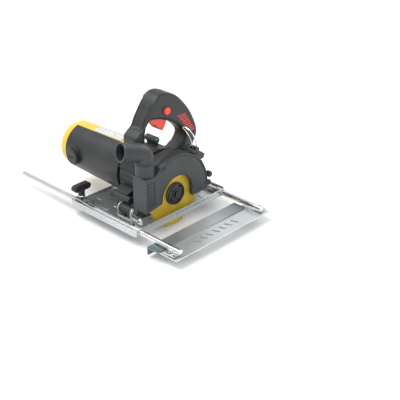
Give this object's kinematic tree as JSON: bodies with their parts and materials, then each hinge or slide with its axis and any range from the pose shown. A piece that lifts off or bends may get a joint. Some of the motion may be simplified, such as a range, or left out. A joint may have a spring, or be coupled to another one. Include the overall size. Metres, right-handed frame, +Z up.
{
  "type": "wall_chaser",
  "caption": "Wall chaser with a toothed blade under a black guard, crosswise yellow and black motor, D-handle, dust elbow, galvanised shoe and sliding side fence",
  "frame": {"origin": "middle of the base of the bounding box, at the height of the blade's lowest tooth", "axes": "+X along the motor axis towards the side fence, +Y along the cut towards the operator, +Z up"},
  "size_m": [0.516, 0.292, 0.279],
  "materials": {
    "galvanised": "zinc plated sheet, slightly spangled",
    "bright": "polished steel",
    "bearing_casting": "cast, machined seats",
    "black_plastic": "glass filled nylon, fine grain",
    "guard_plastic": "fine grain, faint sheen",
    "soft_black": "moulded, dull",
    "yellow": "smooth satin",
    "red": "smooth satin",
    "label": "printed foil, left blank",
    "blade_paint": "thin yellow coat on steel",
    "dark_steel": "blackened",
    "lamination": "stacked sheet",
    "commutator": "turned copper",
    "carbon": "pressed carbon"
  },
  "bodies": {
    "base": {"base_shoe": "galvanised", "hinge_bracket": "galvanised", "hinge_pin": "bright", "duct_bracket": "bright", "depth_quadrant": "galvanised", "rod_clamp_near": "galvanised", "rod_clamp_far": "galvanised", "rod_guide_near": "galvanised", "rod_guide_far": "galvanised"},
    "fence": {"guide_rod_near": "bright", "guide_rod_far": "bright", "fence_angle": "galvanised", "fence_plate": "galvanised", "fence_screw_near": "bright", "fence_screw_far": "bright"},
    "clamp_near": {"clamp_knob_near": "soft_black"},
    "clamp_far": {"clamp_knob_far": "soft_black"},
    "machine": {"motor_housing": "yellow", "side_cover": "black_plastic", "rating_label": "label", "carbon_brush_near": "carbon", "carbon_brush_far": "carbon", "brush_cap_near": "black_plastic", "brush_cap_far": "black_plastic", "stator": "lamination", "armature_bearing_rear": "bright", "armature_bearing_front": "bright", "spindle_bearing_rear": "bright", "spindle_bearing_front": "bright", "bearing_plate": "bearing_casting", "gearbox_housing": "black_plastic", "guard_back": "guard_plastic", "guard_front": "guard_plastic", "guard_screw_1": "bright", "guard_screw_2": "bright", "guard_screw_3": "bright", "dust_spigot": "guard_plastic", "latch_block": "guard_plastic", "handle_left": "black_plastic", "handle_right": "black_plastic", "vent_insert": "red", "switch_block": "soft_black", "cord_gland": "soft_black", "tie_screw": "bright"},
    "spindle_group": {"spindle": "bright", "drive_gear": "dark_steel", "blade": "blade_paint", "outer_flange": "dark_steel", "blade_bolt": "dark_steel"},
    "armature": {"armature_shaft": "bright", "commutator": "commutator", "armature_core": "lamination", "cooling_fan": "black_plastic", "pinion": "dark_steel"},
    "trigger": {"trigger": "red"},
    "lock_button": {"lock_button": "red"},
    "dust_elbow": {"dust_elbow": "guard_plastic"},
    "wire_bail": {"wire_bail": "bright"},
    "depth_knob": {"depth_lock_knob": "soft_black"}
  },
  "joints": [
    {"name": "depth_hinge", "type": "hinge", "parent": "base", "child": "machine", "pos_m": [0.074, -0.102, 0.0525], "axis": [1, 0, 0], "range_deg": [-7.5, 15]},
    {"name": "blade_spin", "type": "hinge", "parent": "machine", "child": "spindle_group", "pos_m": [0.122, -0.012, 0.075], "axis": [1, 0, 0], "continuous": true},
    {"name": "armature_spin", "type": "hinge", "parent": "machine", "child": "armature", "pos_m": [-0.078, -0.012, 0.097], "axis": [1, 0, 0], "continuous": true},
    {"name": "trigger_squeeze", "type": "hinge", "parent": "machine", "child": "trigger", "pos_m": [0.052, -0.014, 0.233], "axis": [1, 0, 0], "range_deg": [0, 8], "stiffness_Nm_per_rad": 0.6, "springref_deg": -11.46},
    {"name": "lock_button_press", "type": "slide", "parent": "machine", "child": "lock_button", "axis": [-1, 0, 0], "range_m": [0, 0.003], "stiffness_N_per_m": 400, "springref_m": -0.003},
    {"name": "elbow_swivel", "type": "hinge", "parent": "machine", "child": "dust_elbow", "pos_m": [0.1115, -0.0825, 0.167], "axis": [0, 0, 1], "range_deg": [-45, 90]},
    {"name": "bail_flip", "type": "hinge", "parent": "machine", "child": "wire_bail", "pos_m": [0.108, 0.065, 0.148], "axis": [0, 1, 0], "range_deg": [0, 110]},
    {"name": "depth_lock_turn", "type": "hinge", "parent": "machine", "child": "depth_knob", "pos_m": [0.09, 0.092, 0.084], "axis": [1, 0, 0], "range_deg": [-90, 90]},
    {"name": "fence_slide", "type": "slide", "parent": "base", "child": "fence", "axis": [1, 0, 0], "range_m": [-0.04, 0.14]},
    {"name": "clamp_turn_near", "type": "hinge", "parent": "base", "child": "clamp_near", "pos_m": [-0.05, -0.122, 0.037], "axis": [0, 0, 1], "range_deg": [-90, 90]},
    {"name": "clamp_turn_far", "type": "hinge", "parent": "base", "child": "clamp_far", "pos_m": [-0.05, 0.124, 0.037], "axis": [0, 0, 1], "range_deg": [-90, 90]}
  ],
  "couplings": [
    {"joint": "armature_spin", "follows": "blade_spin", "ratio": -3}
  ]
}
